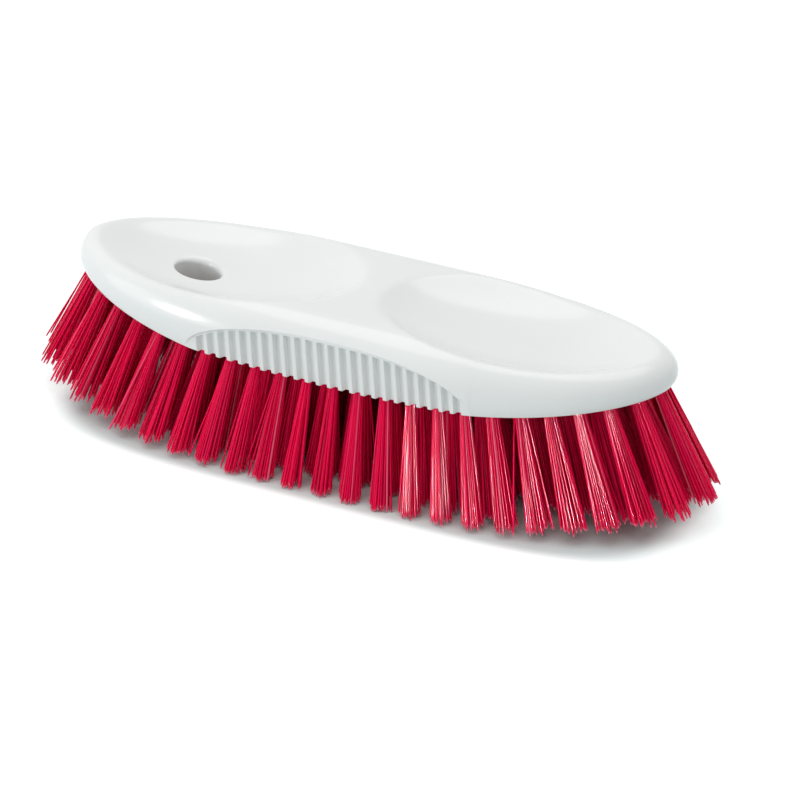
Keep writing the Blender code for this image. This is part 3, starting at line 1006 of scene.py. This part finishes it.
@dataclass
class TuftMaker:
    """Builds tufts as bundles of filaments, every one a closed mesh of its own.

    The bundles stay within the box, given by its lowest and highest corner.
    """

    form: TuftForm
    filament: Filament
    box: Sequence[Sequence[float]]
    points: Array = field(init=False)
    faces: list[tuple[int, ...]] = field(init=False)
    sharp: float = math.radians(80)

    def __post_init__(self) -> None:
        """Keeps the mesh of one filament, its faces turned round because a tuft's frame mirrors them."""
        model = self.filament.model()
        self.points = coordinates(model.data)
        self.faces = [tuple(face.vertices)[::-1] for face in model.data.polygons]
        bpy.data.objects.remove(model, do_unlink=True)

    def spread(self, rng: np.random.Generator) -> tuple[Array, Array]:
        """Where filaments leave the root and where their tips land, about the tuft's own axis.

        Args:
            rng: Source of the tuft's own chance.

        Returns:
            Two arrays of points across the axis, at the root and at the tips.
        """
        form = self.form
        number = np.arange(form.filaments)
        radius = np.sqrt((number + 0.5) / form.filaments)
        turn = number * GOLDEN_TURN + rng.uniform(0, math.tau)
        disc = np.stack([radius * np.cos(turn), radius * np.sin(turn)], -1)
        root = disc * form.root_radius
        centre_turn = np.arange(form.clumps) * math.tau / (form.clumps - 1) + rng.uniform(0, math.tau)
        centre_reach = rng.uniform(*form.clump_reach, form.clumps)
        centre_reach[0] = 0
        centres = np.stack([centre_reach * np.cos(centre_turn), centre_reach * np.sin(centre_turn)], -1)
        nearest = np.linalg.norm(disc[:, None] - centres[None], axis=-1).argmin(1)
        drawn = form.clumping * rng.uniform(*form.clump_chance, (form.filaments, 1))
        tip = disc + (centres[nearest] - disc) * drawn
        tip = tip * form.tip_radius + rng.normal(0, form.wander, tip.shape)
        stray = rng.random(form.filaments) < form.stray_share
        tip[stray] += rng.normal(0, form.stray_reach, tip[stray].shape)
        return root, tip

    def bundle(self, spot: TuftSpot, rng: np.random.Generator) -> tuple[Array, Array, Array]:
        """The filaments of one tuft.

        Args:
            spot: Where the tuft stands.
            rng: Source of its own chance.

        Returns:
            The points of all filaments, and for each point the filament's tone and the run from the root.
        """
        form = self.form
        root, tip = self.spread(rng)
        across = spot.frame().to_3x3()
        side, other = np.array(across.col[0]), np.array(across.col[1])
        down = np.array(spot.direction)
        mouth = np.array((spot.x, spot.y, spot.z))
        past = ease(np.array((abs(spot.x) - form.fan_from) / (form.fan_full - form.fan_from)))
        wider = 1 + form.end_fan * float(past)
        root, tip = root * wider, tip * wider
        start = mouth + root[:, :1] * side + root[:, 1:] * other - down * form.root_depth
        length = spot.z / -down[2]
        along = (2 * spot.x / form.tip_length) ** 2
        flat = mouth + tip[:, :1] * side + tip[:, 1:] * other + down * length
        beside = min(1, abs(spot.y) / form.tip_radius)
        flat[:, 1] += math.copysign(form.end_side_lean * along * beside, spot.y)
        spare = form.ragged + form.end_ragged * along
        ragged = np.abs(rng.normal(0, spare, form.filaments))
        landing = form.trimmed(flat[:, 0]) + np.minimum(ragged, form.most_ragged * spare)
        heading = flat - start
        end = start + heading * ((landing - start[:, 2]) / heading[:, 2])[:, None]
        limit = np.array([self.box[0], self.box[1]]) + np.array([[1], [-1]]) * self.filament.radius
        end[:, :2] = np.clip(end[:, :2], limit[0, :2], limit[1, :2])
        end[:, 2] = np.maximum(end[:, 2], self.filament.radius)
        bow = rng.normal(0, form.bow, (form.filaments, 2))
        run = self.points[:, 2]
        axis = start[:, None] + (end - start)[:, None] * run[None, :, None]
        swing = (4 * run * (1 - run))[None, :, None]
        axis = axis + swing * (bow[:, :1] * side + bow[:, 1:] * other)[:, None]
        turn = rng.uniform(0, math.tau, form.filaments)[:, None]
        round_x = self.points[:, 0] * np.cos(turn) - self.points[:, 1] * np.sin(turn)
        round_y = self.points[:, 0] * np.sin(turn) + self.points[:, 1] * np.cos(turn)
        skin = self.filament.radius * (round_x[..., None] * side + round_y[..., None] * other)
        tone = np.repeat(rng.random(form.filaments), len(run))
        return (axis + skin).reshape(-1, 3), tone, np.tile(run, form.filaments)

    def build(self, name: str, spots: Sequence[TuftSpot], seed: int) -> bpy.types.Object:
        """Builds one tuft, or the tufts of a row, as one mesh.

        Args:
            name: Name for the piece.
            spots: Where its tufts stand.
            seed: Seed of its chance.

        Returns:
            The finished piece, at the origin.
        """
        bundles = [self.bundle(spot, np.random.default_rng((seed, i))) for i, spot in enumerate(spots)]
        points, tone, run = (np.concatenate(parts) for parts in zip(*bundles))
        copies = len(spots) * self.form.filaments
        size = len(self.points)
        faces = [tuple(v + i * size for v in face) for i in range(copies) for face in self.faces]
        mesh = bpy.data.meshes.new(name)
        mesh.from_pydata(points.tolist(), [], faces)
        for label, values in (("tone", tone), ("run", run)):
            attribute = mesh.attributes.new(label, "FLOAT", "POINT")
            attribute.data.foreach_set("value", values.astype(np.float32))
        obj = bpy.data.objects.new(name, mesh)
        bpy.context.collection.objects.link(obj)
        make_active(obj)
        bpy.ops.object.shade_smooth_by_angle(angle=self.sharp)
        return obj


# Finishes


def link(tree: bpy.types.NodeTree, source: bpy.types.NodeSocket, target: bpy.types.NodeSocket) -> None:
    """Joins two sockets of a node tree."""
    tree.links.new(source, target)


def add_node(tree: bpy.types.NodeTree, kind: str, **values: object) -> bpy.types.Node:
    """Adds a node.

    Args:
        tree: The node tree to add it to.
        kind: Blender's name for the kind of node.
        **values: Values for its properties, or for the inputs that have the name.

    Returns:
        The node.
    """
    node = tree.nodes.new(kind)
    for key, value in values.items():
        if hasattr(node, key):
            setattr(node, key, value)
        else:
            node.inputs[key.replace("_", " ")].default_value = value
    return node


def colour_ramp(tree: bpy.types.NodeTree, stops: Sequence[tuple[float, Colour]]) -> bpy.types.Node:
    """Adds a colour ramp.

    Args:
        tree: The node tree to add it to.
        stops: Places from 0 to 1, each with its colour.

    Returns:
        The node.
    """
    node = tree.nodes.new("ShaderNodeValToRGB")
    elements = node.color_ramp.elements
    while len(elements) < len(stops):
        elements.new(0.5)
    for element, (place, colour) in zip(elements, stops):
        element.position = place
        element.color = (*colour, 1)
    return node


def seen_directly(tree: bpy.types.NodeTree) -> bpy.types.NodeSocket:
    """Adds a value that tells what the camera sees, straight, mirrored or through something clear.

    Args:
        tree: The node tree to add it to.

    Returns:
        A socket that gives 1 there, and 0 for rays that carry light to other surfaces.
    """
    path = tree.nodes.new("ShaderNodeLightPath")
    first = add_node(tree, "ShaderNodeMath", operation="MAXIMUM")
    seen = add_node(tree, "ShaderNodeMath", operation="MAXIMUM")
    link(tree, path.outputs["Is Camera Ray"], first.inputs[0])
    link(tree, path.outputs["Is Glossy Ray"], first.inputs[1])
    link(tree, first.outputs["Value"], seen.inputs[0])
    link(tree, path.outputs["Is Transmission Ray"], seen.inputs[1])
    return seen.outputs["Value"]


@dataclass(frozen=True)
class FineTexture:
    """A fine moulded or drawn unevenness, laid out in Object coordinates."""

    detail: float = 3.0
    harshness: float = 0.55
    patches: float = 22.0  # scale of the slow mask
    patch_detail: float = 2.0
    height: float = 0.0002

    def group(self) -> bpy.types.NodeTree:
        """Makes the shader group.

        Returns:
            The group, with inputs Scale and Depth, and outputs Mask and Normal. Mask varies slowly from
            place to place, and Normal has the fine unevenness.
        """
        group = bpy.data.node_groups.new("fine_texture", "ShaderNodeTree")
        face = group.interface
        face.new_socket("Scale", in_out="INPUT", socket_type="NodeSocketFloat")
        face.new_socket("Depth", in_out="INPUT", socket_type="NodeSocketFloat")
        face.new_socket("Mask", in_out="OUTPUT", socket_type="NodeSocketFloat")
        face.new_socket("Normal", in_out="OUTPUT", socket_type="NodeSocketVector")
        entry = group.nodes.new("NodeGroupInput")
        result = group.nodes.new("NodeGroupOutput")
        where = group.nodes.new("ShaderNodeTexCoord")
        fine = add_node(group, "ShaderNodeTexNoise", Detail=self.detail, Roughness=self.harshness)
        broad = add_node(group, "ShaderNodeTexNoise", Scale=self.patches, Detail=self.patch_detail)
        bump = add_node(group, "ShaderNodeBump", Distance=self.height)
        link(group, where.outputs["Object"], fine.inputs["Vector"])
        link(group, where.outputs["Object"], broad.inputs["Vector"])
        link(group, entry.outputs["Scale"], fine.inputs["Scale"])
        link(group, entry.outputs["Depth"], bump.inputs["Strength"])
        link(group, fine.outputs["Fac"], bump.inputs["Height"])
        link(group, broad.outputs["Fac"], result.inputs["Mask"])
        link(group, bump.outputs["Normal"], result.inputs["Normal"])
        return group


@dataclass(frozen=True)
class WhitePlastic:
    """Glossy white moulded plastic with a faint orange-peel surface."""

    texture: bpy.types.NodeTree
    colour: Colour = (0.799, 0.815, 0.81)
    shade: Colour = (0.776, 0.791, 0.786)
    mottling: tuple[float, float] = (0.35, 0.65)  # levels of the slow mask at which the two colours are full
    shine: float = 0.5
    glossiest: float = 0.12
    dullest: float = 0.19
    grain: float = 900.0
    grain_depth: float = 0.05

    def material(self) -> bpy.types.Material:
        """Makes the material.

        Returns:
            The material.
        """
        material = bpy.data.materials.new("white_plastic_gloss")
        material.use_nodes = True
        tree = material.node_tree
        shader = tree.nodes["Principled BSDF"]
        shader.inputs["Specular IOR Level"].default_value = self.shine
        texture = add_node(tree, "ShaderNodeGroup", node_tree=self.texture)
        texture.inputs["Scale"].default_value = self.grain
        texture.inputs["Depth"].default_value = self.grain_depth
        tint = colour_ramp(tree, list(zip(self.mottling, (self.shade, self.colour))))
        rough = add_node(tree, "ShaderNodeMapRange")
        rough.inputs["To Min"].default_value = self.glossiest
        rough.inputs["To Max"].default_value = self.dullest
        link(tree, texture.outputs["Mask"], tint.inputs["Fac"])
        link(tree, tint.outputs["Color"], shader.inputs["Base Color"])
        link(tree, texture.outputs["Mask"], rough.inputs["Value"])
        link(tree, rough.outputs["Result"], shader.inputs["Roughness"])
        link(tree, texture.outputs["Normal"], shader.inputs["Normal"])
        return material


@dataclass(frozen=True)
class CrimsonFilament:
    """Drawn crimson filament: each one a little lighter or darker, with pale cut ends."""

    texture: bpy.types.NodeTree
    tones: tuple[tuple[float, Colour], ...] = (
        (0.0, (0.58, 0.001, 0.042)),
        (0.3, (0.9, 0.002, 0.076)),
        (0.9, (0.9, 0.002, 0.076)),
        # The palest few filaments are light pink along their whole length: painted sheen, standing in for
        # the shine that stray filaments catch.
        (0.96, (0.92, 0.02, 0.12)),
        (0.975, (0.92, 0.13, 0.24)),
    )
    cut_end: Colour = (0.92, 0.20, 0.30)
    cut_from: float = 0.975  # run along the filament from which on it turns pale
    shine: float = 0.15
    glint: Colour = (1.0, 0.62, 0.7)  # dye inside the filament colours its shine
    dullness: float = 0.09
    grain: float = 700.0
    grain_depth: float = 0.02

    def material(self) -> bpy.types.Material:
        """Makes the material.

        Returns:
            The material.
        """
        material = bpy.data.materials.new("crimson_filament_satin")
        material.use_nodes = True
        tree = material.node_tree
        shader = tree.nodes["Principled BSDF"]
        shader.inputs["Specular IOR Level"].default_value = self.shine
        shader.inputs["Specular Tint"].default_value = (*self.glint, 1)
        shader.inputs["Roughness"].default_value = self.dullness
        tone = add_node(tree, "ShaderNodeAttribute", attribute_name="tone")
        run = add_node(tree, "ShaderNodeAttribute", attribute_name="run")
        texture = add_node(tree, "ShaderNodeGroup", node_tree=self.texture)
        texture.inputs["Scale"].default_value = self.grain
        texture.inputs["Depth"].default_value = self.grain_depth
        body = colour_ramp(tree, self.tones)
        at_end = add_node(tree, "ShaderNodeMapRange")
        at_end.inputs["From Min"].default_value = self.cut_from
        at_end.inputs["From Max"].default_value = 1.0
        mix = tree.nodes.new("ShaderNodeMix")
        mix.data_type = "RGBA"
        link(tree, tone.outputs["Fac"], body.inputs["Fac"])
        link(tree, run.outputs["Fac"], at_end.inputs["Value"])
        link(tree, at_end.outputs["Result"], mix.inputs["Factor"])
        link(tree, body.outputs["Color"], mix.inputs[6])
        mix.inputs[7].default_value = (*self.cut_end, 1)
        link(tree, mix.outputs[2], shader.inputs["Base Color"])
        link(tree, texture.outputs["Normal"], shader.inputs["Normal"])
        return material


# Studio


@dataclass(frozen=True)
class Lamp:
    """A soft oval light aimed at the brush."""

    name: str
    place: tuple[float, float, float]
    width: float
    height: float
    power: float

    def add(self, target: Vector) -> bpy.types.Object:
        """Adds the lamp to the scene.

        Args:
            target: The place that it faces.

        Returns:
            The lamp's object.
        """
        light = bpy.data.lights.new(self.name, "AREA")
        light.shape = "ELLIPSE"
        light.size = self.width
        light.size_y = self.height
        light.energy = self.power
        obj = bpy.data.objects.new(self.name, light)
        turn = (target - Vector(self.place)).to_track_quat("-Z", "Y").to_matrix().to_4x4()
        obj.matrix_world = Matrix.Translation(self.place) @ turn
        bpy.context.collection.objects.link(obj)
        return obj


@dataclass(frozen=True)
class Studio:
    """The camera, the lamps, the white room and the pale floor."""

    form: BlockForm
    azimuth: float = math.radians(27.2042)
    elevation: float = math.radians(28.42)
    distance: float = 1.6
    slide_right: float = 0.0084643
    slide_up: float = -0.0352882
    pixels_per_metre: float = 3198.4  # at the middle of the deck, in a picture of 800 pixels
    picture: int = 800
    sensor: float = 36.0  # width of the camera's sensor in millimetres
    lamps: tuple[Lamp, ...] = (
        Lamp("overhead", (-0.02, -0.05, 1.25), 1.45, 1.45, 8.6),
        Lamp("key", (-0.82, -0.89, 0.34), 0.24, 0.28, 1.9),
        Lamp("fill", (-1.3, -0.98, 0.38), 1.2, 0.9, 3.9),
    )
    sheen: Lamp = Lamp("bristle_sheen", (0.44, -2.47, 0.262), 0.45, 0.12, 135.0)
    sheen_aim: tuple[float, float, float] = (0.06, -0.035, 0.02)
    sheen_from: float = 0.025  # the sheen falls on the ring tufts that stand further along than this
    world_strength: float = 0.52
    # The floor glows white only outside an oval round the bristles' foot, shifted the way the light throws
    # the shadow. Inside the oval it gets no glow and stays darker: the real shadow plus painted shade.
    foot: tuple[float, float] = (0.1065, 0.0405)  # half the length and width of what the bristles touch
    shadow_oval_middle: tuple[float, float] = (0.003, -0.001)
    clear: tuple[float, float] = (0.85, 1.1)  # where the floor turns to pure white, 1 being the foot's edge
    glow: float = 0.46
    floor_colour: Colour = (0.69, 0.79, 0.783)  # evens out the red light that the bristles cast
    floor_dullness: float = 0.8
    floor_shine: float = 0.1
    floor_size: float = 30.0

    def add_camera(self) -> None:
        """Adds the camera at the photograph's viewing angle."""
        az, el = self.azimuth, self.elevation
        back = Vector((math.sin(az) * math.cos(el), -math.cos(az) * math.cos(el), math.sin(el)))
        right = Vector((math.cos(az), math.sin(az), 0))
        up = back.cross(right)
        middle = Vector((0, 0, self.form.deck_height))
        eye = middle + right * self.slide_right + up * self.slide_up + back * self.distance
        data = bpy.data.cameras.new("camera")
        data.sensor_width = self.sensor
        data.lens = self.pixels_per_metre * self.distance / self.picture * data.sensor_width
        obj = bpy.data.objects.new("camera", data)
        turn = Matrix((right, up, back)).transposed().to_4x4()
        obj.matrix_world = Matrix.Translation(eye) @ turn
        bpy.context.collection.objects.link(obj)
        bpy.context.scene.camera = obj

    def floor_material(self) -> bpy.types.Material:
        """Makes a white floor that keeps the brush's shadow and melts into the white background. Round the
        bristles the floor gets no glow, which paints shade there on top of the real shadow.

        Returns:
            The material, which can't be seen from below.
        """
        material = bpy.data.materials.new("studio_floor")
        material.use_nodes = True
        tree = material.node_tree
        shader = tree.nodes["Principled BSDF"]
        shader.inputs["Base Color"].default_value = (*self.floor_colour, 1)
        shader.inputs["Roughness"].default_value = self.floor_dullness
        shader.inputs["Specular IOR Level"].default_value = self.floor_shine
        shader.inputs["Emission Color"].default_value = (1, 1, 1, 1)
        behind = tree.nodes.new("ShaderNodeNewGeometry")
        front = add_node(tree, "ShaderNodeMath", operation="SUBTRACT")
        front.inputs[0].default_value = 1.0
        link(tree, behind.outputs["Backfacing"], front.inputs[1])
        link(tree, front.outputs["Value"], shader.inputs["Alpha"])
        seen = seen_directly(tree)
        where = tree.nodes.new("ShaderNodeTexCoord")
        moved = add_node(tree, "ShaderNodeVectorMath", operation="SUBTRACT")
        moved.inputs[1].default_value = (*self.shadow_oval_middle, 0)
        scaled = add_node(tree, "ShaderNodeVectorMath", operation="DIVIDE")
        scaled.inputs[1].default_value = (*self.foot, 1)
        squared = add_node(tree, "ShaderNodeVectorMath", operation="MULTIPLY")
        away = add_node(tree, "ShaderNodeVectorMath", operation="LENGTH")
        # No glow inside the oval round the foot: painted shade on top of the real shadow there.
        clear = add_node(tree, "ShaderNodeMapRange", interpolation_type="SMOOTHSTEP")
        clear.inputs["From Min"].default_value, clear.inputs["From Max"].default_value = self.clear
        clear.inputs["To Max"].default_value = self.glow
        boost = add_node(tree, "ShaderNodeMath", operation="MULTIPLY")
        link(tree, where.outputs["Object"], moved.inputs[0])
        link(tree, moved.outputs["Vector"], scaled.inputs[0])
        link(tree, scaled.outputs["Vector"], squared.inputs[0])
        link(tree, scaled.outputs["Vector"], squared.inputs[1])
        link(tree, squared.outputs["Vector"], away.inputs[0])
        link(tree, away.outputs["Value"], clear.inputs["Value"])
        link(tree, seen, boost.inputs[0])
        link(tree, clear.outputs["Result"], boost.inputs[1])
        link(tree, boost.outputs["Value"], shader.inputs["Emission Strength"])
        return material

    def add_floor(self) -> None:
        floor = new_primitive("floor", bpy.ops.mesh.primitive_plane_add, size=self.floor_size)
        floor.data.materials.append(self.floor_material())

    def add_world(self) -> None:
        """Adds an even white sky."""
        world = bpy.data.worlds.new("white_room")
        world.use_nodes = True
        tree = world.node_tree
        sky = tree.nodes["Background"]
        strength = tree.nodes.new("ShaderNodeMapRange")
        strength.inputs["To Min"].default_value = self.world_strength
        strength.inputs["To Max"].default_value = 1.0
        sky.inputs["Color"].default_value = (1, 1, 1, 1)
        link(tree, seen_directly(tree), strength.inputs["Value"])
        link(tree, strength.outputs["Result"], sky.inputs["Strength"])
        bpy.context.scene.world = world

    def light_bristles(self, bristles: Sequence[bpy.types.Object]) -> None:
        """Adds a low lamp that puts a sheen on some bristles and lights nothing else.

        Args:
            bristles: The tufts that get the sheen.
        """
        lamp = self.sheen.add(Vector(self.sheen_aim))
        lit = bpy.data.collections.new("sheen_on")
        for piece in bristles:
            lit.objects.link(piece)
        lamp.light_linking.receiver_collection = lit
        lamp.visible_diffuse = False

    def build(self) -> None:
        """Adds everything that isn't part of the brush."""
        bpy.context.scene.view_settings.view_transform = "Standard"
        self.add_camera()
        self.add_world()
        self.add_floor()
        for lamp in self.lamps:
            lamp.add(Vector((0, 0, self.form.underside_height)))


# Assembly


def finish_piece(piece: bpy.types.Object, material: bpy.types.Material, slot: Slot, *nodes: str) -> None:
    """Dresses a piece, puts it on the brush's body and lets it stand for CAD nodes.

    Args:
        piece: The finished piece.
        material: Its material.
        slot: The record's slot for that material. Not used.
        *nodes: The CAD nodes that it stands for.
    """
    piece.data.materials.clear()
    piece.data.materials.append(material)
    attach(piece, BODY)
    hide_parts(*nodes)
    report(piece)


def main() -> None:
    """Builds the brush and its studio."""
    logging.basicConfig(level=logging.INFO, format="%(name)s: %(message)s")
    form = BlockForm()
    hole = HangingHole()
    studio = Studio(form)
    studio.build()
    texture = FineTexture().group()
    white = WhitePlastic(texture).material()
    crimson = CrimsonFilament(texture).material()
    plan = TuftPlan(form, hole)
    block = Block(form, hole).build(plan.hole_cutter())
    finish_piece(block, white, Slot.BLOCK, "block")
    ring_maker = TuftMaker(TuftForm(), Filament(), CAD_BOX)
    row_maker = TuftMaker(TuftForm.of_rows(), Filament(), CAD_BOX)
    shiny = []
    for number, spot in enumerate(plan.ring(), 1):
        piece = ring_maker.build(f"bristles_ring_{number:02d}", [spot], number)
        finish_piece(piece, crimson, Slot.FILAMENT, f"ring_tuft_{number:02d}")
        if spot.x > studio.sheen_from:
            shiny.append(piece)
    for number, row in enumerate(plan.rows(), 1):
        piece = row_maker.build(f"bristles_row_{number}", row, ROW_SEED + number)
        finish_piece(piece, crimson, Slot.FILAMENT, f"inner_row_{number}")
    studio.light_bristles(shiny)


if __name__ == "__main__":
    main()
